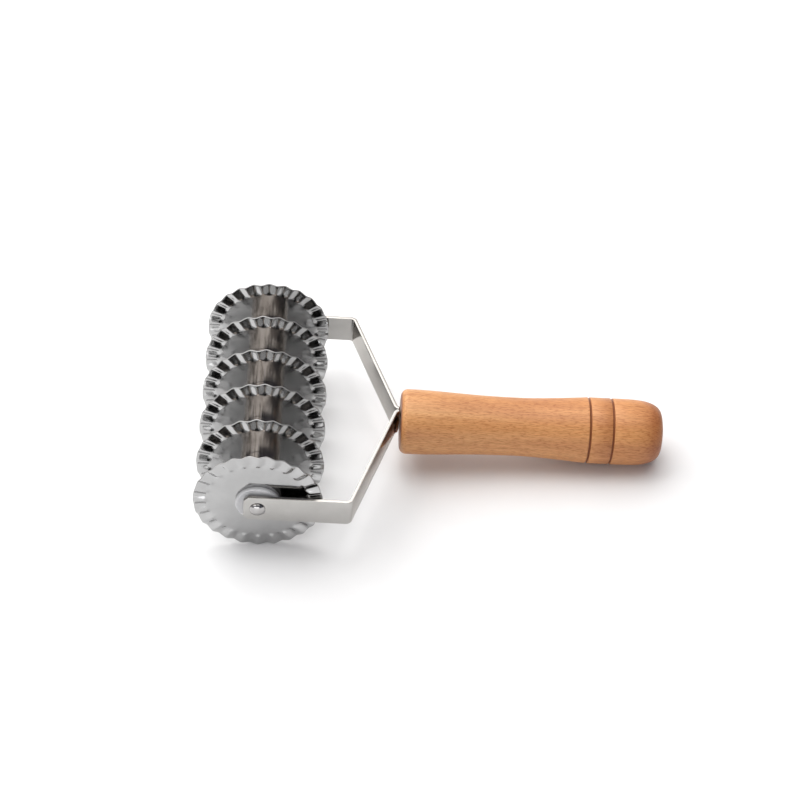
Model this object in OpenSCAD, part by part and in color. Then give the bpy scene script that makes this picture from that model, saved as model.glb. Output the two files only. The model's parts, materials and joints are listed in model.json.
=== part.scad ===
/* [Wheels] */
// Diameter of each cutting wheel over its fluted rim
wheel_d = 55; // [45:0.5:70]
// Distance from one wheel to the next along the axle
wheel_pitch = 21; // [12:0.5:30]
// Thickness of the steel sheet that the wheels are stamped from
sheet_t = 0.6; // [0.4:0.1:1]
// Number of flutes round each wheel
flutes = 24; // [16:1:32]
// Radial length of the flutes
flute_len = 6.6; // [4:0.1:9]
// How far each fold stands out of the wheel's middle plane
flute_rise = 0.55; // [0.2:0.05:0.8]

/* [Roller] */
// Outer diameter of the core tube that carries the wheels
core_d = 15; // [14:0.5:16]
// Outer diameter of the spacer tubes between the wheels
spacer_d = 17; // [16.9:0.1:18]
// Wall of the core tube
core_wall = 1; // [0.8:0.1:1.5]
// Diameter of the end bushes' flanges
flange_d = 19; // [18:0.5:24]
// Thickness of the end bushes' flanges
flange_t = 1.8; // [1.2:0.1:1.9]
// Length of the end bushes inside the core tube
spigot_len = 9; // [5:0.5:15]
// How far the roller has slid along the axle, towards the right arm
roller_slide = 0.4; // [0:0.1:0.4]

/* [Axle] */
// Diameter of the fixed axle
axle_d = 6; // [5:0.1:7]
// Diameter of the axle's necks, which pass through the arms
neck_d = 4.5; // [3.5:0.1:4.8]
// Diameter of the riveted heads
head_d = 6.7; // [6:0.1:9]
// Height of the riveted heads
head_h = 1.9; // [1.2:0.1:2.5]
// Height of the straight part of the heads, under the dome
head_rise = 0.6; // [0:0.1:1]

/* [Fork] */
// Width of the arms' steel strap
strap_w = 13.6; // [10:0.1:15]
// Thickness of the arms' steel strap
strap_t = 1.5; // [1.2:0.1:2]
// Gap between an end wheel and the arm beside it, with the roller in the middle
arm_gap = 2.3; // [2.3:0.1:6]
// How far the arms reach past the axle
arm_overhang = 6; // [5:0.5:8]
// Distance from the axle to the bend in each arm
bend_x = 39.1; // [32:0.1:45]
// Distance from the axle to where the two arms meet
throat_x = 58.4; // [55:0.1:59]
// Inside radius of the bends
bend_r = 1.5; // [1:0.5:3]
// Size of the clipped corners at the arms' ends
corner_clip = 2; // [0:0.5:4]
// Distance from the axle to the tangs' shoulders
shoulder_x = 59.5; // [58:0.5:60]
// Width of each tang where it enters the handle
tang_w = 5.2; // [4:0.1:5.6]
// Length of the tangs inside the handle
tang_len = 36; // [20:1:50]

/* [Handle] */
// Distance from the axle to the handle's front face
handle_x = 60.5; // [60.5:0.5:70]
// Length of the handle
handle_l = 116; // [114:1:130]
// Upward set of the handle against the fork
handle_set = 0.5; // [0:0.5:3]
// How far the handle's axis lies below the fork's middle line
handle_drop = 1; // [0:0.1:1.5]
// Radius of the rounded front edge
front_round = 3; // [1:0.5:5]
// Diameter of the handle's front end
front_d = 28.7; // [27:0.1:32]
// Diameter of the waist
waist_d = 25.9; // [22:0.1:28]
// Diameter of the belly, where the handle rests
belly_d = 29.3; // [28:0.1:32]
// Diameter of the flat end of the butt
butt_d = 15; // [8:0.5:20]
// Width of the two turned grooves
groove_w = 0.9; // [0.6:0.1:2]
// Depth of the two turned grooves
groove_depth = 0.7; // [0.4:0.1:1.5]

/* [Hidden] */
$fn = 64;

steel = "silver";
polished_steel = "gainsboro";
nylon = "white";
beech = "burlywood";

WHEEL_COUNT = 6;
// Angle that each wheel happens to be turned to on the core tube, left side first
wheel_turns = [10.25, 14.5, 5.25, 4.5, 14.5, 3.25];
wheel_r = wheel_d / 2;
// Radius where the flutes start, and where they have reached their full rise
flute_r = wheel_r - flute_len;
flute_run = 1.4;
ring_radii = [flute_r, flute_r + flute_run, wheel_r];
ring_rises = [0, flute_rise, flute_rise];
folds = 2 * flutes;

// Radial clearance of a tube or wheel pushed onto the core tube
push_fit = 0.05;
// Radial clearance between the bushes and the axle, which lets the roller turn
running_fit = 0.05;
eps = 0.01;

stack_l = (WHEEL_COUNT - 1) * wheel_pitch + sheet_t;
arm_inner_y = stack_l / 2 + arm_gap;
arm_outer_y = arm_inner_y + strap_t;

// Middle line of the strap, seen from above: end, two bends, tang end
arm_y = arm_inner_y + strap_t / 2;
tang_y = strap_t / 2;
bend_mid_r = bend_r + strap_t / 2;
bend_turn = atan2(arm_y - tang_y, throat_x - bend_x);
bend_steps = 14;
tang_end_x = handle_x + tang_len;
tang_tip_w = 4;
tang_hole_r = norm([strap_t, tang_w / 2]) + 0.1;

// Stations of the handle's outline, measured from its front face
front_end_s = 6;
waist_s = 52;
groove_s = [83.2, 93.4];
belly_s = 100;
front_r = front_d / 2;
waist_r = waist_d / 2;
belly_r = belly_d / 2;
// The outline stays full for this long after the belly, then turns in to the flat end
butt_swell = 12;
butt_corner = 4.5;

function flip(list) = [for (i = [len(list) - 1:-1:0]) list[i]];

// A unit vector at an angle
function heading(a) = [cos(a), sin(a)];

// Points of a cubic curve from p0 to p3
function curve(p0, p1, p2, p3, steps) =
  [for (i = [0:steps]) let (t = i / steps, u = 1 - t)
    u * u * u * p0 + 3 * u * u * t * p1 + 3 * u * t * t * p2 + t * t * t * p3];

// Turned outline of the handle as [radius, distance from the front face]
handle_line = concat(
  [for (i = [0:6]) let (a = 90 * i / 6)
    [front_r - front_round * (1 - sin(a)), front_round * (1 - cos(a))]],
  curve([front_r, front_end_s], [front_r, 19], [waist_r, 28], [waist_r, waist_s], 16),
  curve([waist_r, waist_s + 1], [waist_r, 63], [belly_r, 82], [belly_r, groove_s[0]], 14),
  curve(
    [belly_r, belly_s], [belly_r, belly_s + butt_swell],
    [butt_d / 2 + butt_corner, handle_l], [butt_d / 2, handle_l], 16
  )
);

// The tool rests on its wheels and on the handle's belly.
// How far the fork falls until a point of the handle's outline meets the table:
// it solves axle height = reach * sin(fall) + lift * cos(fall).
function fall_to(p) =
  let (
    reach = handle_x + p.y * cos(handle_set) + p.x * sin(handle_set),
    lift = handle_drop + p.x * cos(handle_set) - p.y * sin(handle_set)
  )
  asin(wheel_r / norm([reach, lift])) - atan2(lift, reach);
fork_fall = min([for (p = handle_line) fall_to(p)]);
handle_fall = fork_fall - handle_set;
butt_reach = handle_x * cos(fork_fall) - handle_drop * sin(fork_fall)
  + handle_l * cos(handle_fall) + butt_d / 2 * sin(handle_fall);
// The origin is under the middle of the whole tool
axle_x = (wheel_r - butt_reach) / 2;

// Points [x, y, heading] round a bend of the given turn about a corner
function bend(corner, from, turn, r) =
  let (
    side = sign(turn),
    start = corner - r * tan(abs(turn) / 2) * heading(from),
    centre = start + side * r * heading(from + 90)
  )
  [for (i = [0:bend_steps])
    let (a = from + turn * i / bend_steps, p = centre - side * r * heading(a + 90))
    [p.x, p.y, a]];

// One edge of a strap: its middle line moved sideways
function strap_edge(line, off) =
  [for (p = line) [p.x, p.y] + off * heading(p.z + 90)];

// Side of the middle plane that a fold stands on
function fold_side(i) = i % 2 == 0 ? 1 : -1;

// Resting position: the fork falls from the axle towards the handle
module fork_pose() {
  translate([axle_x, 0, wheel_r]) rotate([0, fork_fall, 0]) children();
}

module handle_pose() {
  fork_pose()
  translate([handle_x, 0, -handle_drop])
  rotate([0, -handle_set, 0])
  children();
}

// Turns a shape made along Z onto the axle's line, at a place along it
module on_axle(y) {
  translate([axle_x, y, wheel_r]) rotate([-90, 0, 0]) children();
}

// The roller has some free play along the axle
module on_roller(y) {
  on_axle(y + roller_slide) children();
}

// Stamped disc whose rim is folded into flutes
module fluted_disc() {
  ring_count = len(ring_radii);
  face_points = [for (k = [0:ring_count - 1], i = [0:folds - 1])
    let (p = ring_radii[k] * heading(i * 360 / folds))
    [p.x, p.y, ring_rises[k] * fold_side(i)]];
  face_size = len(face_points) + 1;
  sheet = [0, 0, sheet_t / 2];
  points = concat(
    [sheet], [for (p = face_points) p + sheet],
    [-sheet], [for (p = face_points) p - sheet]
  );
  // Index of fold i on ring k
  function at(k, i) = 1 + k * folds + i % folds;
  upper = [for (i = [0:folds - 1]) each concat(
    [[0, at(0, i + 1), at(0, i)]],
    [for (k = [0:ring_count - 2]) each [
      [at(k, i), at(k, i + 1), at(k + 1, i)],
      [at(k, i + 1), at(k + 1, i + 1), at(k + 1, i)]
    ]]
  )];
  lower = [for (f = upper) [for (j = flip(f)) j + face_size]];
  last = ring_count - 1;
  rim = [for (i = [0:folds - 1]) each [
    [at(last, i), at(last, i + 1), at(last, i) + face_size],
    [at(last, i + 1), at(last, i + 1) + face_size, at(last, i) + face_size]
  ]];
  polyhedron(points, concat(upper, lower, rim));
}

module wheel(i) {
  color(steel)
  on_roller((i - (WHEEL_COUNT + 1) / 2) * wheel_pitch)
  rotate([0, 0, wheel_turns[i - 1]])
  difference() {
    fluted_disc();
    cylinder(h = 4 * sheet_t, r = core_d / 2 + push_fit, center = true);
  }
}

module spacer(i) {
  color(polished_steel)
  on_roller((i - WHEEL_COUNT / 2) * wheel_pitch)
  difference() {
    cylinder(h = wheel_pitch - sheet_t, r = spacer_d / 2, center = true);
    cylinder(h = wheel_pitch, r = core_d / 2 + push_fit, center = true);
  }
}

module core_tube() {
  color(polished_steel)
  on_roller(0)
  difference() {
    cylinder(h = stack_l, r = core_d / 2, center = true);
    cylinder(h = stack_l + 2, r = core_d / 2 - core_wall, center = true);
  }
}

// Nylon bush: a spigot inside the core tube and a flange beside the end wheel
module end_bush(side) {
  color(nylon)
  on_roller(side * stack_l / 2)
  mirror([0, 0, side < 0 ? 1 : 0])
  difference() {
    union() {
      cylinder(h = flange_t, r = flange_d / 2);
      translate([0, 0, -spigot_len])
        cylinder(h = spigot_len + eps, r = core_d / 2 - core_wall);
    }
    cylinder(h = 2 * (spigot_len + flange_t), r = axle_d / 2 + running_fit, center = true);
  }
}

// Turned shaft with a neck through each arm and a domed head outside it
module axle() {
  dome_h = head_h - head_rise;
  dome_r = (dome_h * dome_h + head_d * head_d / 4) / (2 * dome_h);
  dome_span = asin(head_d / 2 / dome_r);
  dome_steps = 10;
  half = concat(
    [
      [axle_d / 2, arm_inner_y], [neck_d / 2, arm_inner_y],
      [neck_d / 2, arm_outer_y], [head_d / 2, arm_outer_y]
    ],
    [for (i = [0:dome_steps]) let (a = dome_span * (1 - i / dome_steps))
      [dome_r * sin(a), arm_outer_y + head_h - dome_r * (1 - cos(a))]]
  );
  color(steel)
  on_axle(0)
  rotate_extrude()
  polygon(concat(half, [for (p = flip(half)) [p.x, -p.y]]));
}

// Strap seen from above: straight beside the wheels, then in to the handle
module strap_plan() {
  line = concat(
    [[-arm_overhang, arm_y, 0]],
    bend([bend_x, arm_y], 0, -bend_turn, bend_mid_r),
    bend([throat_x, tang_y], -bend_turn, bend_turn, bend_mid_r),
    [[tang_end_x, tang_y, 0]]
  );
  polygon(concat(strap_edge(line, strap_t / 2), flip(strap_edge(line, -strap_t / 2))));
}

// Strap seen from the side: clipped corners at the axle, tapered tang at the handle
module strap_side() {
  half = [
    [-arm_overhang, strap_w / 2 - corner_clip],
    [corner_clip - arm_overhang, strap_w / 2],
    [shoulder_x, strap_w / 2],
    [handle_x, tang_w / 2],
    [tang_end_x, tang_tip_w / 2]
  ];
  polygon(concat(half, [for (p = flip(half)) [p.x, -p.y]]));
}

module arm(side) {
  color(steel)
  fork_pose()
  mirror([0, side < 0 ? 1 : 0, 0])
  difference() {
    intersection() {
      linear_extrude(height = strap_w + 2, center = true) strap_plan();
      rotate([90, 0, 0])
        linear_extrude(height = 3 * arm_outer_y, center = true) strap_side();
    }
    translate([0, arm_y, 0]) rotate([90, 0, 0])
      cylinder(h = 2 * strap_t, r = neck_d / 2 + push_fit, center = true);
  }
}

// Turned wooden handle with two grooves and a blind hole for the tangs
module handle() {
  color(beech)
  difference() {
    handle_pose() rotate([0, 90, 0]) rotate([0, 0, 90])
      rotate_extrude()
      difference() {
        polygon(concat([[0, 0]], handle_line, [[0, handle_l]]));
        for (s = groove_s)
          translate([belly_r, s]) scale([groove_depth, groove_w / 2]) circle(r = 1, $fn = 12);
      }
    fork_pose() translate([handle_x - 5, 0, 0]) rotate([0, 90, 0])
      cylinder(h = tang_len + 6, r = tang_hole_r);
  }
}

wheel(1);  // wheel_1
wheel(2);  // wheel_2
wheel(3);  // wheel_3
wheel(4);  // wheel_4
wheel(5);  // wheel_5
wheel(6);  // wheel_6
spacer(1);  // spacer_1
spacer(2);  // spacer_2
spacer(3);  // spacer_3
spacer(4);  // spacer_4
spacer(5);  // spacer_5
core_tube();
end_bush(-1);  // end_bush_left
end_bush(1);  // end_bush_right
axle();
arm(-1);  // arm_left
arm(1);  // arm_right
handle();
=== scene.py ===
import json
import math
import random

import bmesh
import bpy
from mathutils import Matrix, Vector


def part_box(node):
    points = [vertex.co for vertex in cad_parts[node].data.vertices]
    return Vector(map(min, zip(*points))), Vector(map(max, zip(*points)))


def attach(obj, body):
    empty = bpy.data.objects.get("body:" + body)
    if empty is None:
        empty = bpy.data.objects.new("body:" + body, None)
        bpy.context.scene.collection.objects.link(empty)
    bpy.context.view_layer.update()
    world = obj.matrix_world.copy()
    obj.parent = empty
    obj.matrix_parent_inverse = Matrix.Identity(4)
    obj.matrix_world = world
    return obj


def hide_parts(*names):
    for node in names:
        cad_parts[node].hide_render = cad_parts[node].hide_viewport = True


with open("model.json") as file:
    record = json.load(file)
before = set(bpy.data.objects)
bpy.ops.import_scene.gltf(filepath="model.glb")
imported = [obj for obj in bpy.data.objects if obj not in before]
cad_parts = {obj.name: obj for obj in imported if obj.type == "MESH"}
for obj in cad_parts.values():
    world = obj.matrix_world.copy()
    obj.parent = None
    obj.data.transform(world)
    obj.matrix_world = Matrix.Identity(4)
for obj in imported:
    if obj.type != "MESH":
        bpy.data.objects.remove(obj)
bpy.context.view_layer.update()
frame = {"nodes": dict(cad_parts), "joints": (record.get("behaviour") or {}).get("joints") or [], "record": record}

MM = 0.001
TAU = 2 * math.pi

# ---------------------------------------------------------------- sizes, in millimetres
# Wheels: the web waves faintly from DRAW_START, and the full flutes rise from FLUTE_START
FLUTES = 24
SHEET = 0.6
FLUTE_START = 20.9
FLUTE_RUN = 2.0
FLUTE_RISE = 0.55
DRAW_START = 16.5
DRAW_SHARE = 0.05
RIM_EDGE = 0.18

# Spacers, core tube and bushes
SPACER_R = 8.5
SPACER_EDGE = 0.25
CORE_R = 7.5
CORE_BORE_R = 6.5
FLANGE_R = 9.5
FLANGE_T = 1.8
FLANGE_EDGE = 0.45
FLANGE_BACK_EDGE = 0.15
SPIGOT = 9.0
SPIGOT_EDGE = 0.3
BUSH_BORE_EDGE = 0.5
CLEARANCE = 0.05

# Axle and its riveted heads: a short straight part, a small broken corner and a dome
AXLE_R = 3.0
NECK_R = 2.25
HEAD_R = 3.35
HEAD_H = 1.9
HEAD_RISE = 0.6
HEAD_BACK_EDGE = 0.1
HEAD_CORNER_LOW = 0.15
HEAD_CORNER_IN = 0.06
HEAD_CORNER_UP = 0.02

# Strap arms: places along X are measured from the axle
STRAP_W = 13.6
STRAP_T = 1.5
STRAP_EDGE = 0.18
OVERHANG = 6.0
CLIP = 2.0
BEND_X = 39.1
THROAT_X = 58.4
BEND_R = 1.5
SHOULDER_X = 59.5
TANG_W = 5.2
TANG_TIP_W = 4.0
TANG_L = 36.0

# Handle: radii, and distances from its front face, which is HANDLE_X from the axle. A curve lists
# the distances of its start, its two control points and its end, but the belly's ends at a groove.
HANDLE_X = 60.5
HANDLE_L = 116.0
HANDLE_SET = math.radians(0.5)
HANDLE_DROP = 1.0
FRONT_R = 14.35
FRONT_ROUND = 3.0
FRONT_STEPS = 10
FRONT_FLAT_RADII = (6.0, 9.0)
WAIST_R = 12.95
WAIST_CURVE = (6, 19, 28, 52)
BELLY_R = 14.65
BELLY_CURVE = (53, 63, 82)
BUTT_R = 7.5
BUTT_START = 100.0
BUTT_PULL_ALONG = 12
BUTT_PULL_OUT = 4.5
BUTT_FLAT_RADII = (4.0, 0.8)
GROOVES = (83.2, 93.4)
GROOVE_W = 0.9
GROOVE_DEPTH = 0.7
GROOVE_STEPS = 12
GROOVE_MARGIN = 0.25
GROOVE_LIP = 0.12
TANG_HOLE_R = 3.1
TANG_HOLE_DEPTH = TANG_L + 1.0
TANG_HOLE_TAPER = 0.01
TANG_HOLE_MOUTH = 1.0
TANG_HOLE_EDGE = 0.2
TANG_HOLE_EDGE_L = 0.3

# ---------------------------------------------------------------- places, from the frame
joint = frame["joints"][0]
axle_centre = Vector(joint["pos_m"])
mounts = {m["name"]: m for m in frame["record"]["mounts"]}
handle_axis = Vector(mounts["butt_face"]["axis"])
handle_fall = math.atan2(-handle_axis.z, handle_axis.x)
fork_fall = handle_fall + HANDLE_SET
fork_pose = Matrix.Translation(axle_centre) @ Matrix.Rotation(fork_fall, 4, "Y")
handle_pose = (
    Matrix.Translation(Vector(mounts["butt_face"]["pos_m"]) - handle_axis * HANDLE_L * MM)
    @ Matrix.Rotation(handle_fall, 4, "Y")
)
arm_inner_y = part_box("arm_right")[1].y / MM - STRAP_T


def along_axle(y, side=1):
    """Lays a lathe piece's own Z along the axle, towards +Y or, with side -1, towards -Y."""
    place = Matrix.Translation(Vector((axle_centre.x, y, axle_centre.z)))
    return place @ Matrix.Rotation(-side * math.pi / 2, 4, "X")


# ---------------------------------------------------------------- mesh helpers
def smoothstep(x):
    x = min(1.0, max(0.0, x))
    return x * x * (3 - 2 * x)


def mix(a, b, t):
    return a + (b - a) * t


def arc_points(centre, radius, start, end, steps):
    """Points on an arc in a plane, from one angle to another."""
    return [
        (centre[0] + radius * math.cos(mix(start, end, i / steps)),
         centre[1] + radius * math.sin(mix(start, end, i / steps)))
        for i in range(steps + 1)
    ]


def curve_points(p0, p1, p2, p3, steps):
    """Points of a cubic curve."""
    out = []
    for i in range(steps + 1):
        t = i / steps
        u = 1 - t
        weights = (u * u * u, 3 * u * u * t, 3 * u * t * t, t * t * t)
        out.append(tuple(sum(w * p[k] for w, p in zip(weights, (p0, p1, p2, p3)))
                         for k in range(2)))
    return out


def make_piece(name, verts, faces, pose, body, node, material, sharp=35):
    """A mesh in millimetres, moved to its place by its pose, which stands for a CAD node."""
    mesh = bpy.data.meshes.new(name)
    mesh.from_pydata([(x * MM, y * MM, z * MM) for x, y, z in verts], [], faces)
    bm = bmesh.new()
    bm.from_mesh(mesh)
    bmesh.ops.remove_doubles(bm, verts=bm.verts, dist=1e-7)
    bmesh.ops.recalc_face_normals(bm, faces=bm.faces)
    bm.to_mesh(mesh)
    bm.free()
    mesh.transform(pose)
    mesh.shade_smooth()
    mesh.set_sharp_from_angle(angle=math.radians(sharp))
    mesh.materials.append(material)
    piece = bpy.data.objects.new(name, mesh)
    bpy.context.scene.collection.objects.link(piece)
    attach(piece, body)
    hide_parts(node)
    return piece


def mark(piece, name, values):
    """Gives each vertex a number that the piece's material reads."""
    assert len(values) == len(piece.data.vertices)
    attribute = piece.data.attributes.new(name, "FLOAT", "POINT")
    attribute.data.foreach_set("value", values)


def ring_faces(rows, columns, closed_rows=False):
    """Quads between rings of points: rows rings, each of columns points."""
    faces = []
    for r in range(rows if closed_rows else rows - 1):
        a, b = r * columns, (r + 1) % rows * columns
        for c in range(columns):
            d = (c + 1) % columns
            faces.append((a + c, a + d, b + d, b + c))
    return faces


def lathe(outline, segments, closed=False, offsets=None):
    """Turns (radius, height) points about Z. A closed outline makes a tube, and offsets shift
    single rings sideways."""
    verts = []
    for k, (r, z) in enumerate(outline):
        dx, dy = offsets[k] if offsets else (0.0, 0.0)
        for i in range(segments):
            a = TAU * i / segments
            verts.append((dx + r * math.cos(a), dy + r * math.sin(a), z))
    faces = ring_faces(len(outline), segments, closed)
    if not closed:
        last = (len(outline) - 1) * segments
        faces.append(tuple(range(segments)))
        faces.append(tuple(last + i for i in range(segments)))
    return verts, faces


# ---------------------------------------------------------------- material helpers
def set_stops(ramp, stops):
    """Fills a colour ramp from pairs of a place and a colour or a grey."""
    elements = ramp.color_ramp.elements
    while len(elements) < len(stops):
        elements.new(0.5)
    for element, (place, value) in zip(elements, stops):
        element.position = place
        element.color = (*value, 1) if isinstance(value, tuple) else (value,) * 3 + (1,)


class Nodes:
    """A short way to write a node tree."""

    def __init__(self, name):
        self.material = bpy.data.materials.new(name)
        self.material.use_nodes = True
        self.tree = self.material.node_tree
        self.tree.nodes.clear()
        self.out = self.add("ShaderNodeOutputMaterial")
        self.shader = self.add("ShaderNodeBsdfPrincipled")
        self.link(self.shader, "BSDF", self.out, "Surface")

    def add(self, kind, **settings):
        node = self.tree.nodes.new(kind)
        for key, value in settings.items():
            setattr(node, key, value)
        return node

    def link(self, a, a_socket, b, b_socket):
        self.tree.links.new(a.outputs[a_socket], b.inputs[b_socket])

    def set(self, **values):
        for key, value in values.items():
            self.shader.inputs[key.replace("_", " ")].default_value = value

    def coords(self, stretch, fall):
        """Object coordinates, turned by a fall about Y, then stretched."""
        source = self.add("ShaderNodeTexCoord")
        mapping = self.add("ShaderNodeMapping", vector_type="TEXTURE")
        mapping.inputs["Rotation"].default_value = (0, fall, 0)
        mapping.inputs["Scale"].default_value = stretch
        self.link(source, "Object", mapping, "Vector")
        return mapping

    def noise(self, scale, stretch, detail, rough, distortion=0.0, fall=0.0):
        """Noise with a scale in cells a metre, stretched along X, Y and Z."""
        mapping = self.coords(stretch, fall)
        node = self.add("ShaderNodeTexNoise")
        node.inputs["Scale"].default_value = scale
        node.inputs["Detail"].default_value = detail
        node.inputs["Roughness"].default_value = rough
        node.inputs["Distortion"].default_value = distortion
        self.link(mapping, "Vector", node, "Vector")
        return node

    def ramp(self, source, socket, stops):
        node = self.add("ShaderNodeValToRGB")
        set_stops(node, stops)
        self.link(source, socket, node, "Fac")
        return node

    def remap(self, source, socket, low, high, out_low, out_high):
        node = self.add("ShaderNodeMapRange")
        for key, value in (("From Min", low), ("From Max", high),
                           ("To Min", out_low), ("To Max", out_high)):
            node.inputs[key].default_value = value
        self.link(source, socket, node, "Value")
        return node

    def blend(self, how, fac, first, second):
        """Mixes two colours. Each is a node with its socket, or a plain colour."""
        # A colour Mix node takes its factor in socket 0 and its colours in sockets 6 and 7
        node = self.add("ShaderNodeMix", data_type="RGBA", blend_type=how)
        if isinstance(fac, tuple):
            self.tree.links.new(fac[0].outputs[fac[1]], node.inputs[0])
        else:
            node.inputs[0].default_value = fac
        for value, index in ((first, 6), (second, 7)):
            if len(value) == 2:
                self.tree.links.new(value[0].outputs[value[1]], node.inputs[index])
            else:
                node.inputs[index].default_value = (*value, 1)
        return node

    def bump(self, source, socket, strength, distance, after=None):
        node = self.add("ShaderNodeBump")
        node.inputs["Strength"].default_value = strength
        node.inputs["Distance"].default_value = distance
        self.link(source, socket, node, "Height")
        if after:
            self.link(after, "Normal", node, "Normal")
        return node


def sheared(n, tint, rough, shade, extra_rough):
    """Sets colour and roughness, duller where the cut_edge attribute marks a sheared edge."""
    cut = n.add("ShaderNodeAttribute", attribute_name="cut_edge")
    edged = n.blend("MULTIPLY", (cut, "Fac"), (tint, "Color"), shade)
    n.link(edged, "Result", n.shader, "Base Color")
    duller = n.add("ShaderNodeMath", operation="MULTIPLY_ADD")
    duller.inputs[1].default_value = extra_rough
    n.link(cut, "Fac", duller, 0)
    n.link(rough, "Result", duller, 2)
    n.link(duller, "Value", n.shader, "Roughness")


def sheet_steel():
    """Stamped stainless sheet: bright, faintly uneven and duller on its sheared rim."""
    n = Nodes("stamped_steel")
    n.set(Metallic=1.0)
    cloud = n.noise(90, (1, 1, 1), 5, 0.6)
    tint = n.ramp(cloud, "Fac", [(0.3, (0.43, 0.43, 0.43)), (0.7, (0.485, 0.485, 0.484))])
    grain = n.noise(900, (1, 1, 1), 3, 0.6)
    rough = n.remap(grain, "Fac", 0.3, 0.7, 0.08, 0.14)
    sheared(n, tint, rough, (0.62, 0.61, 0.60), 0.25)
    fine = n.bump(grain, "Fac", 0.07, 0.0001)
    wide = n.bump(cloud, "Fac", 0.03, 0.001, fine)
    n.link(wide, "Normal", n.shader, "Normal")
    return n.material


def polished_tube():
    """Polished tube with fine draw lines along its length, which is Y."""
    n = Nodes("polished_tube")
    n.set(Metallic=1.0)
    lines = n.noise(1400, (1, 100, 1), 4, 0.6)
    tint = n.ramp(lines, "Fac", [(0.3, (0.41, 0.365, 0.33)), (0.7, (0.56, 0.505, 0.46))])
    streaks = n.noise(2100, (1, 60, 1), 2, 0.5)
    streak_tint = n.ramp(streaks, "Fac", [
        (0.38, (0.50, 0.46, 0.43)), (0.50, (0.95, 0.94, 0.93)), (0.62, (1.0, 1.0, 1.0)),
    ])
    drawn = n.blend("MULTIPLY", 0.75, (tint, "Color"), (streak_tint, "Color"))
    n.link(drawn, "Result", n.shader, "Base Color")
    rough = n.remap(lines, "Fac", 0.3, 0.7, 0.06, 0.14)
    n.link(rough, "Result", n.shader, "Roughness")
    bump = n.bump(lines, "Fac", 0.25, 0.0003)
    n.link(bump, "Normal", n.shader, "Normal")
    return n.material


def strap_steel():
    """Rolled stainless strap with faint lengthwise lines and duller sheared edges."""
    n = Nodes("strap_steel")
    n.set(Metallic=1.0, Specular_Tint=(0.78, 0.76, 0.74, 1))
    lines = n.noise(1100, (30, 30, 1), 4, 0.6, fall=fork_fall)
    cloud = n.noise(120, (1, 1, 1), 4, 0.6)
    tint = n.ramp(cloud, "Fac", [(0.3, (0.455, 0.445, 0.428)), (0.7, (0.505, 0.495, 0.478))])
    rough = n.remap(lines, "Fac", 0.3, 0.7, 0.10, 0.16)
    sheared(n, tint, rough, (0.86, 0.84, 0.82), 0.12)
    bump = n.bump(lines, "Fac", 0.06, 0.0002)
    n.link(bump, "Normal", n.shader, "Normal")
    return n.material


def turned_steel():
    """Turned and peened steel of the axle."""
    n = Nodes("turned_steel")
    n.set(Metallic=1.0)
    grain = n.noise(700, (1, 1, 1), 4, 0.6)
    tint = n.ramp(grain, "Fac", [(0.3, (0.40, 0.39, 0.385)), (0.7, (0.48, 0.47, 0.465))])
    n.link(tint, "Color", n.shader, "Base Color")
    rough = n.remap(grain, "Fac", 0.3, 0.7, 0.09, 0.16)
    n.link(rough, "Result", n.shader, "Roughness")
    bump = n.bump(grain, "Fac", 0.08, 0.0002)
    n.link(bump, "Normal", n.shader, "Normal")
    return n.material


def white_nylon():
    """Natural nylon, slightly translucent and satin."""
    n = Nodes("white_nylon")
    n.set(Subsurface_Weight=0.6, Subsurface_Scale=0.003, Subsurface_Radius=(1, 1, 1), IOR=1.53)
    cloud = n.noise(250, (1, 1, 1), 3, 0.5)
    tint = n.ramp(cloud, "Fac", [(0.3, (0.54, 0.54, 0.55)), (0.7, (0.60, 0.60, 0.61))])
    n.link(tint, "Color", n.shader, "Base Color")
    rough = n.remap(cloud, "Fac", 0.3, 0.7, 0.34, 0.46)
    n.link(rough, "Result", n.shader, "Roughness")
    return n.material


# Painted shade: the wood is painted darker and redder towards the butt, where the light falls off, between these
# places along X, in metres
BUTT_SHADE_FROM = -0.02
BUTT_SHADE_TO = 0.11


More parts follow.
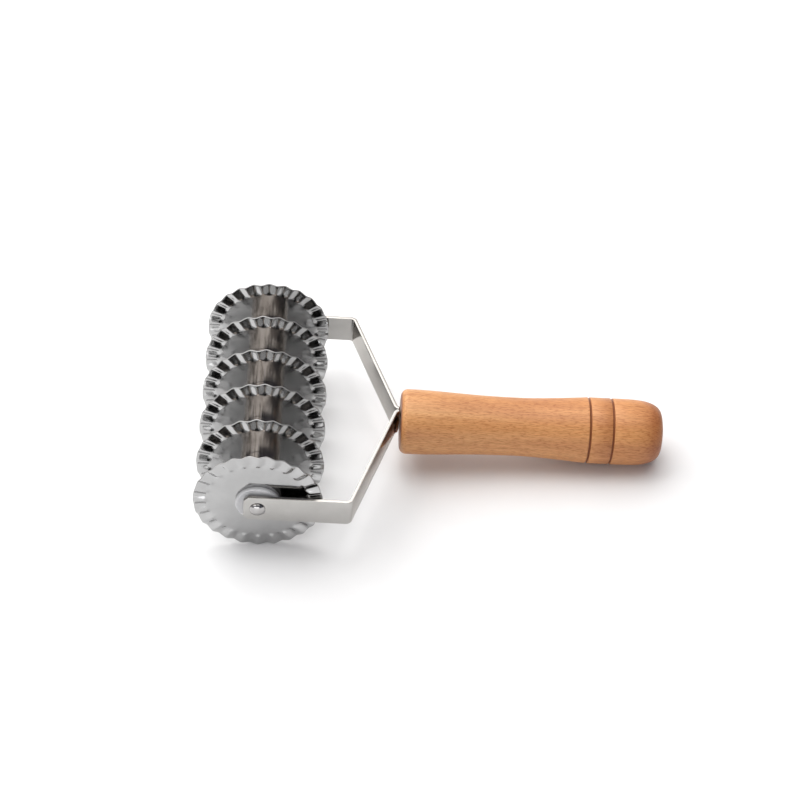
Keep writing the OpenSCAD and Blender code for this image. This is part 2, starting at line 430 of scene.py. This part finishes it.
def beech():
    """Turned beech: soft bands, fine fibres and short dark flecks along the handle."""
    n = Nodes("beech")
    bands = n.noise(190, (14, 2.5, 1), 3, 0.5, 0.6, fall=handle_fall)
    base = n.ramp(bands, "Fac", [
        (0.28, (0.505, 0.218, 0.080)), (0.48, (0.605, 0.287, 0.109)), (0.70, (0.665, 0.343, 0.137)),
    ])
    fibres = n.noise(1500, (28, 1, 1), 5, 0.65, fall=handle_fall)
    fibre_tint = n.ramp(fibres, "Fac", [(0.30, 0.86), (0.70, 1.05)])
    wood = n.blend("MULTIPLY", 1.0, (base, "Color"), (fibre_tint, "Color"))
    flecks = n.noise(2300, (6, 1, 1), 2, 0.5, 0.4, fall=handle_fall)
    fleck_tint = n.ramp(flecks, "Fac", [
        (0.34, (0.68, 0.53, 0.41)), (0.45, (0.91, 0.86, 0.81)), (0.53, (1.0, 1.0, 1.0)),
        (0.66, (1.06, 1.07, 1.08)),
    ])
    flecked = n.blend("MULTIPLY", 0.8, (wood, "Result"), (fleck_tint, "Color"))
    # Painted shade: darker and redder towards the butt, where the light falls off
    along = n.add("ShaderNodeSeparateXYZ")
    n.link(n.coords((1, 1, 1), handle_fall), "Vector", along, "Vector")
    butt_shade = n.remap(along, "X", BUTT_SHADE_FROM, BUTT_SHADE_TO, 0.0, 1.0)
    butt_shaded = n.blend("MULTIPLY", (butt_shade, "Result"), (flecked, "Result"), (0.95, 0.84, 0.75))
    # Grooves: burn lines, with painted shade in the recess
    groove = n.add("ShaderNodeAttribute", attribute_name="burn_and_shade")
    # End grain, darker, with painted shade at both ends, deepest on the front face
    end_grain_and_shade = n.add("ShaderNodeAttribute", attribute_name="end_grain_and_shade")
    grain_shaded = n.blend("MULTIPLY", (end_grain_and_shade, "Fac"), (butt_shaded, "Result"), (0.58, 0.40, 0.32))
    dark = n.blend("MIX", (groove, "Fac"), (grain_shaded, "Result"), (0.22, 0.068, 0.019))
    n.link(dark, "Result", n.shader, "Base Color")
    n.set(Specular_IOR_Level=0.45, Sheen_Weight=0.05, Sheen_Roughness=0.4)
    rough = n.remap(fibres, "Fac", 0.3, 0.7, 0.52, 0.42)
    n.link(rough, "Result", n.shader, "Roughness")
    pores = n.bump(fibres, "Fac", 0.16, 0.00025)
    soft = n.bump(flecks, "Fac", 0.08, 0.0003, pores)
    n.link(soft, "Normal", n.shader, "Normal")
    return n.material


# ---------------------------------------------------------------- the roller
# A fold's end lies this near to the CAD wheel's rim, and this near to its +Y side
RIM_BAND = 0.1
FOLD_BAND = 0.01


def wheel_facts(node):
    """Outer and bore radius, middle plane and angle of the first fold of a CAD wheel."""
    low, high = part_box(node)
    middle = (low.y + high.y) / 2
    points = [v.co - axle_centre for v in frame["nodes"][node].data.vertices]
    radii = [math.hypot(p.x, p.z) for p in points]
    outer, bore = max(radii), min(radii)
    period = TAU / FLUTES
    folds = [p for p, r in zip(points, radii)
             if r > outer - RIM_BAND * MM and p.y + axle_centre.y > high.y - FOLD_BAND * MM]
    turns = [math.atan2(-p.z, p.x) for p in folds]
    mean = math.atan2(sum(math.sin(t * FLUTES) for t in turns),
                      sum(math.cos(t * FLUTES) for t in turns)) / FLUTES
    return outer / MM, bore / MM, middle, mean % period


# Places of the points from one fold to the next, closer together at the folds
FOLD_SAMPLES = (0.0, 0.06, 0.12, 0.2, 0.3, 0.43, 0.57, 0.7, 0.8, 0.88, 0.94)
FOLD_SHARPNESS = 0.8
# Uneven pressing: share of the full rise, and degrees to either side
FOLD_RISES = (0.93, 1.0)
FOLD_SWAY = 0.2
# Radii of the rings of points on the web, where the flutes rise, and out to the rim
WEB_RINGS = (9.0, 13.0, DRAW_START, 17.2, 18.0, 18.8, 19.6, 20.2, 20.6)
RISING_STEPS = 10
RISING_RINGS = tuple(FLUTE_START + FLUTE_RUN * i / RISING_STEPS for i in range(RISING_STEPS + 1))
FLUTE_RINGS = (23.6, 24.8, 26.0)
RIM_ANGLES = (math.radians(30), math.radians(60), math.radians(90))


def fold_height(t):
    """From 0 at one fold to 1 at the next: a flat facet with rounded ends."""
    bent = math.asin(FOLD_SHARPNESS * math.sin(math.pi * (t - 0.5)))
    return 0.5 + bent / (2 * math.asin(FOLD_SHARPNESS))


def make_wheel(node, material):
    outer, bore, middle, turn = wheel_facts(node)
    rng = random.Random(node)
    folds = 2 * FLUTES
    heights = [(1 if i % 2 == 0 else -1) * FLUTE_RISE * rng.uniform(*FOLD_RISES)
               for i in range(folds)]
    angles = [turn + TAU * i / folds + math.radians(rng.uniform(-FOLD_SWAY, FOLD_SWAY))
              for i in range(folds)]
    columns = []
    for i in range(folds):
        after = angles[(i + 1) % folds] + (TAU if i == folds - 1 else 0)
        for t in FOLD_SAMPLES:
            height = mix(heights[i], heights[(i + 1) % folds], fold_height(t))
            columns.append((mix(angles[i], after, t), height))
    half = SHEET / 2
    radii = (bore, *WEB_RINGS, *RISING_RINGS, *FLUTE_RINGS, outer - RIM_EDGE)
    stations = [(r, half) for r in radii]
    stations += [(outer - RIM_EDGE * (1 - math.sin(a)), half - RIM_EDGE * (1 - math.cos(a)))
                 for a in RIM_ANGLES]

    def point(r, thick, column, side):
        angle, height = column
        drawn_in = smoothstep((r - DRAW_START) / (FLUTE_START - DRAW_START))
        fluted = smoothstep((r - FLUTE_START) / FLUTE_RUN)
        rise = height * mix(DRAW_SHARE * drawn_in, 1.0, fluted)
        return r * math.cos(angle), r * math.sin(angle), rise + side * thick

    loop = stations + [(r, thick) for r, thick in reversed(stations)]
    sides = [1] * len(stations) + [-1] * len(stations)
    verts = [point(r, thick, c, side) for (r, thick), side in zip(loop, sides) for c in columns]
    faces = ring_faces(len(loop), len(columns), closed_rows=True)
    piece = make_piece(f"fluted_{node}", verts, faces, along_axle(middle),
                       "roller", node, material, sharp=50)
    mark(piece, "cut_edge", [1.0 if r > radii[-1] else 0.0 for r, _ in loop for _ in columns])
    return piece


TUBE_SEGMENTS = 128


def make_spacer(node, material):
    low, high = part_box(node)
    half = (high.y - low.y) / 2 / MM
    bore = CORE_R + CLEARANCE
    end = [(bore, half), (SPACER_R - SPACER_EDGE, half), (SPACER_R, half - SPACER_EDGE)]
    outline = [(r, -y) for r, y in end] + end[::-1]
    verts, faces = lathe(outline, TUBE_SEGMENTS, closed=True)
    pose = along_axle((low.y + high.y) / 2)
    return make_piece(f"polished_{node}", verts, faces, pose,
                      "roller", node, material)


def make_bush(node, side, material):
    low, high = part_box(node)
    face = (low.y if side < 0 else high.y) / MM
    inner = face - side * FLANGE_T
    bore = AXLE_R + CLEARANCE
    rim_centre = (FLANGE_R - FLANGE_EDGE, FLANGE_T - FLANGE_EDGE)
    outline = [
        (bore, -SPIGOT), (CORE_BORE_R - SPIGOT_EDGE, -SPIGOT), (CORE_BORE_R, SPIGOT_EDGE - SPIGOT),
        (CORE_BORE_R, 0.0), (FLANGE_R - FLANGE_BACK_EDGE, 0.0), (FLANGE_R, FLANGE_BACK_EDGE),
        *arc_points(rim_centre, FLANGE_EDGE, 0, math.pi / 2, steps=6),
        (bore + BUSH_BORE_EDGE, FLANGE_T), (bore, FLANGE_T - BUSH_BORE_EDGE),
    ]
    verts, faces = lathe(outline, TUBE_SEGMENTS, closed=True)
    pose = along_axle(inner * MM, side)
    return make_piece(f"nylon_{node}", verts, faces, pose, "roller", node, material)


# ---------------------------------------------------------------- the fork
AXLE_SEGMENTS = 96
DOME_STEPS = 12


def make_axle(material):
    arm_outer_y = arm_inner_y + STRAP_T
    top = arm_outer_y + HEAD_H
    shoulder = arm_outer_y + HEAD_RISE
    dome_h = HEAD_H - HEAD_RISE
    dome_r = (dome_h ** 2 + HEAD_R ** 2) / (2 * dome_h)
    span = math.asin(HEAD_R / dome_r)
    dome_angles = [span * k / DOME_STEPS for k in range(DOME_STEPS - 1, 0, -1)]
    half = [
        (AXLE_R, arm_inner_y), (NECK_R, arm_inner_y), (NECK_R, arm_outer_y),
        (HEAD_R - HEAD_BACK_EDGE, arm_outer_y), (HEAD_R, arm_outer_y + HEAD_BACK_EDGE),
        (HEAD_R, shoulder - HEAD_CORNER_LOW), (HEAD_R - HEAD_CORNER_IN, shoulder + HEAD_CORNER_UP),
        *[(dome_r * math.sin(a), top - dome_r * (1 - math.cos(a))) for a in dome_angles],
    ]
    outline = [(r, -y) for r, y in reversed(half)] + half
    verts, faces = lathe(outline, AXLE_SEGMENTS)
    return make_piece("riveted_axle", verts, faces, along_axle(axle_centre.y),
                      "fork", "axle", material, sharp=40)


def bend_stations(corner, heading, turn, radius, steps):
    """(x, y, heading) along a bend about a corner, as the strap's middle line."""
    side = 1 if turn > 0 else -1
    lead = radius * math.tan(abs(turn) / 2)
    start = (corner[0] - lead * math.cos(heading), corner[1] - lead * math.sin(heading))
    reach = side * radius
    centre = (start[0] - reach * math.sin(heading), start[1] + reach * math.cos(heading))
    angles = [heading + turn * i / steps for i in range(steps + 1)]
    return [(centre[0] + reach * math.sin(a), centre[1] - reach * math.cos(a), a) for a in angles]


def strap_half_width(x):
    """Half the strap's width at a distance from the axle: clipped end, shoulders, tang."""
    stops = [
        (-OVERHANG, STRAP_W / 2 - CLIP), (CLIP - OVERHANG, STRAP_W / 2), (SHOULDER_X, STRAP_W / 2),
        (HANDLE_X, TANG_W / 2), (HANDLE_X + TANG_L, TANG_TIP_W / 2),
    ]
    for (x0, w0), (x1, w1) in zip(stops, stops[1:]):
        if x <= x1:
            return mix(w0, w1, max(0.0, (x - x0) / (x1 - x0)))
    return stops[-1][1]


# Distances from the axle of the rings of points on each arm's straight stretch
ARM_RINGS = (STRAP_EDGE - OVERHANG, -5.0, CLIP - OVERHANG, -3.8, 5.0, 20.0, 30.0)
# Places of the rings on the diagonal, as shares of its length
DIAGONAL_RINGS = (0.2, 0.4, 0.6, 0.8)
BEND_STEPS = 14
# Degrees round each of the strap's four rounded edges
EDGE_ANGLES = (0, 30, 60, 90)
# How much of the edge's radius is lost at the strap's two ends
END_LOSS = 0.9


def make_arm(node, side, material):
    arm_y, tang_y = arm_inner_y + STRAP_T / 2, STRAP_T / 2
    turn = math.atan2(arm_y - tang_y, THROAT_X - BEND_X)
    radius = BEND_R + STRAP_T / 2
    end = HANDLE_X + TANG_L
    line = [(x, arm_y, 0.0) for x in (-OVERHANG, *ARM_RINGS)]
    line += bend_stations((BEND_X, arm_y), 0.0, -turn, radius, BEND_STEPS)
    line += [(mix(BEND_X, THROAT_X, t), mix(arm_y, tang_y, t), -turn) for t in DIAGONAL_RINGS]
    line += bend_stations((THROAT_X, tang_y), -turn, turn, radius, BEND_STEPS)
    line += [(x, tang_y, 0.0) for x in (HANDLE_X, end - STRAP_EDGE, end)]
    verts, cuts = [], []
    for k, (x, y, a) in enumerate(line):
        inset = STRAP_EDGE if k in (0, len(line) - 1) else 0.0
        thick = STRAP_T / 2 - inset
        wide = strap_half_width(x) - inset
        edge = STRAP_EDGE - inset * END_LOSS
        corners = ((thick - edge, wide - edge, 0), (edge - thick, wide - edge, 90),
                   (edge - thick, edge - wide, 180), (thick - edge, edge - wide, 270))
        for cy, cz, start in corners:
            for step in EDGE_ANGLES:
                b = math.radians(start + step)
                off, up = cy + edge * math.cos(b), cz + edge * math.sin(b)
                verts.append((x - off * math.sin(a), side * (y + off * math.cos(a)), up))
                cuts.append(smoothstep((abs(up) - wide + edge) / edge))
    ring = 4 * len(EDGE_ANGLES)
    last = (len(line) - 1) * ring
    faces = ring_faces(len(line), ring)
    faces += [tuple(range(ring)), tuple(last + i for i in range(ring))]
    piece = make_piece(f"strap_{node}", verts, faces, fork_pose,
                       "fork", node, material, sharp=30)
    mark(piece, "cut_edge", cuts)
    return piece


def handle_outline():
    """(radius, distance from the front face) along the turned outline, and its grooves."""
    front = [(FRONT_R - FRONT_ROUND * (1 - math.sin(a)), FRONT_ROUND * (1 - math.cos(a)))
             for a in (math.pi / 2 * i / FRONT_STEPS for i in range(FRONT_STEPS + 1))]
    start, pull, push, end = WAIST_CURVE
    waist = curve_points((FRONT_R, start), (FRONT_R, pull),
                         (WAIST_R, push), (WAIST_R, end), steps=30)
    start, pull, push = BELLY_CURVE
    belly = curve_points((WAIST_R, start), (WAIST_R, pull),
                         (BELLY_R, push), (BELLY_R, GROOVES[0]), steps=26)
    belly = [(r, s) for r, s in belly if s < GROOVES[0] - GROOVE_W]
    butt = curve_points((BELLY_R, BUTT_START), (BELLY_R, BUTT_START + BUTT_PULL_ALONG),
                        (BUTT_R + BUTT_PULL_OUT, HANDLE_L), (BUTT_R, HANDLE_L), steps=34)
    grooves = []
    for s in GROOVES:
        grooves.append((BELLY_R, s - GROOVE_W / 2 - GROOVE_MARGIN))
        for i in range(GROOVE_STEPS + 1):
            # Steep sides and a round bottom, with the two lips slightly worn
            a = math.pi * i / GROOVE_STEPS
            lip = GROOVE_LIP * math.cos(a) ** 8
            dip = GROOVE_DEPTH * math.sin(a) ** 1.5
            grooves.append((BELLY_R - dip - lip, s - GROOVE_W / 2 * math.cos(a)))
        grooves.append((BELLY_R, s + GROOVE_W / 2 + GROOVE_MARGIN))
    return front + waist + belly + grooves + butt


HANDLE_SEGMENTS = 160
# End grain darkens the wood as its surface tilts towards either end: at the butt up to a share, reached at one
# tilt, and at the front between two tilts. This darkening is partly the real darker end grain and partly painted
# shade at both ends, deepest on the front face, which stands in shadow.
BUTT_GRAIN_SHARE = 0.7
BUTT_GRAIN_TILT = 0.38
FRONT_GRAIN_TILTS = (0.8, 1.0)
# Share of the grooves' depth at which a groove is fully darkened, partly by its burn line and partly by painted
# shade in the groove
BURN_AND_SHADE_DEPTH = 0.65


def make_handle(material):
    bore = [
        (TANG_HOLE_R - TANG_HOLE_TAPER, TANG_HOLE_DEPTH), (TANG_HOLE_R, TANG_HOLE_MOUTH),
        (TANG_HOLE_R, TANG_HOLE_EDGE_L), (TANG_HOLE_R + TANG_HOLE_EDGE, 0.0),
    ]
    surface = [(r, 0.0) for r in FRONT_FLAT_RADII]
    surface += handle_outline()
    surface += [(r, HANDLE_L) for r in BUTT_FLAT_RADII]
    # The tangs' hole lies above the handle's own axis. Local X points down here.
    offsets = [(-HANDLE_DROP, 0.0)] * len(bore) + [(0.0, 0.0)] * len(surface)
    verts, faces = lathe(bore + surface, HANDLE_SEGMENTS, offsets=offsets)
    pose = handle_pose @ Matrix.Rotation(math.pi / 2, 4, "Y")
    piece = make_piece("turned_handle", verts, faces, pose,
                       "fork", "handle", material, sharp=60)
    front_low, front_high = FRONT_GRAIN_TILTS
    to_handle = handle_pose.inverted()
    end_grain_and_shade, burn_and_shade = [], []
    for vertex in piece.data.vertices:
        # End grain with painted shade at the ends, deepest on the front face
        tilt = vertex.normal.dot(handle_axis)
        if tilt > 0:
            end_grain_and_shade.append(BUTT_GRAIN_SHARE * smoothstep(tilt / BUTT_GRAIN_TILT))
        else:
            end_grain_and_shade.append(smoothstep((-tilt - front_low) / (front_high - front_low)))
        # Grooves darken with depth: burn lines, with painted shade in the recess
        place = to_handle @ vertex.co
        near = min(abs(place.x / MM - s) for s in GROOVES)
        depth = (BELLY_R - math.hypot(place.y, place.z) / MM) / GROOVE_DEPTH
        burn_and_shade.append(smoothstep(depth / BURN_AND_SHADE_DEPTH) if near < GROOVE_W / 2 else 0.0)
    mark(piece, "end_grain_and_shade", end_grain_and_shade)
    mark(piece, "burn_and_shade", burn_and_shade)
    return piece


# ---------------------------------------------------------------- build
steel = sheet_steel()
tube = polished_tube()
strap = strap_steel()
turned = turned_steel()
nylon = white_nylon()
wood = beech()

for i in range(1, 7):
    make_wheel(f"wheel_{i}", steel)
for i in range(1, 6):
    make_spacer(f"spacer_{i}", tube)
make_bush("end_bush_left", -1, nylon)
make_bush("end_bush_right", 1, nylon)
core = frame["nodes"]["core_tube"]
core.data.materials.clear()
core.data.materials.append(tube)
make_axle(turned)
make_arm("arm_left", -1, strap)
make_arm("arm_right", 1, strap)
make_handle(wood)

# ---------------------------------------------------------------- floor, light and camera
scene = bpy.context.scene

FLOOR_REACH = 3.0


def make_floor():
    corners = [(x * FLOOR_REACH, y * FLOOR_REACH, 0) for x, y in ((-1, -1), (1, -1), (1, 1), (-1, 1))]
    mesh = bpy.data.meshes.new("floor")
    mesh.from_pydata(corners, [], [(0, 1, 2, 3)])
    n = Nodes("pale_floor")
    n.set(Roughness=0.9)
    grain = n.noise(40, (1, 1, 1), 2, 0.5)
    tint = n.ramp(grain, "Fac", [(0.3, 0.81), (0.7, 0.83)])
    n.link(tint, "Color", n.shader, "Base Color")
    mesh.materials.append(n.material)
    floor = bpy.data.objects.new("floor", mesh)
    scene.collection.objects.link(floor)


# Name, place, the point that it is aimed at, width and height in metres, and power in watts
LIGHTS = (
    ("key", (-0.6, 0.6, 0.95), (0.0, 0.0, 0.0), (1.9, 1.5), 18),
    ("top_fill", (0.1, 0.05, 1.3), (0.05, 0.0, 0.0), (1.0, 0.5), 5.2),
    ("side_fill", (-0.65, -0.85, 0.85), (0.0, 0.0, 0.0), (0.75, 0.65), 1.7),
    ("front_fill", (-0.2, -1.0, 0.15), (0.0, 0.0, 0.02), (0.9, 0.26), 1.6),
)


def make_area(name, place, aim, size, power):
    data = bpy.data.lights.new(name, "AREA")
    data.shape = "RECTANGLE"
    data.size, data.size_y = size
    data.energy = power
    light = bpy.data.objects.new(name, data)
    scene.collection.objects.link(light)
    light.location = place
    light.rotation_mode = "QUATERNION"
    light.rotation_quaternion = (Vector(aim) - Vector(place)).to_track_quat("-Z", "Y")


# The studio is brightest above, behind and to the left, and dark low down in front and on the right
SKY_BRIGHT_SIDE = (-0.4, 0.5, 0.75)
SKY_STOPS = [
    (0.0, (0.11, 0.115, 0.14)), (0.62, (0.125, 0.13, 0.155)),
    (0.80, (0.8, 0.77, 0.75)), (1.0, (1.1, 1.1, 1.1)),
]


def make_world():
    world = bpy.data.worlds.new("studio")
    scene.world = world
    world.use_nodes = True
    tree = world.node_tree
    direction = tree.nodes.new("ShaderNodeTexCoord")
    toward = tree.nodes.new("ShaderNodeVectorMath")
    toward.operation = "DOT_PRODUCT"
    toward.inputs[1].default_value = Vector(SKY_BRIGHT_SIDE).normalized()
    ramp = tree.nodes.new("ShaderNodeValToRGB")
    set_stops(ramp, SKY_STOPS)
    span = tree.nodes.new("ShaderNodeMapRange")
    span.inputs["From Min"].default_value = -1
    tree.links.new(direction.outputs["Generated"], toward.inputs[0])
    tree.links.new(toward.outputs["Value"], span.inputs["Value"])
    tree.links.new(span.outputs["Result"], ramp.inputs["Fac"])
    tree.links.new(ramp.outputs["Color"], tree.nodes["Background"].inputs["Color"])


CAMERA_ELEVATION = math.radians(46.0)
CAMERA_DISTANCE = 0.923
CAMERA_LENS = 94.7
CAMERA_SENSOR = 36
CAMERA_CLIP = (0.01, 20)
CAMERA_AIM = axle_centre + Vector((0.0602, 0.0004, 0.0073))


def make_camera():
    data = bpy.data.cameras.new("camera")
    data.sensor_width = CAMERA_SENSOR
    data.lens = CAMERA_LENS
    data.clip_start, data.clip_end = CAMERA_CLIP
    camera = bpy.data.objects.new("camera", data)
    scene.collection.objects.link(camera)
    back = Vector((0, -math.cos(CAMERA_ELEVATION), math.sin(CAMERA_ELEVATION)))
    camera.location = CAMERA_AIM + back * CAMERA_DISTANCE
    camera.rotation_mode = "QUATERNION"
    camera.rotation_quaternion = (-back).to_track_quat("-Z", "Y")
    scene.camera = camera


make_floor()
make_world()
for light in LIGHTS:
    make_area(*light)
make_camera()
scene.view_settings.view_transform = "Standard"
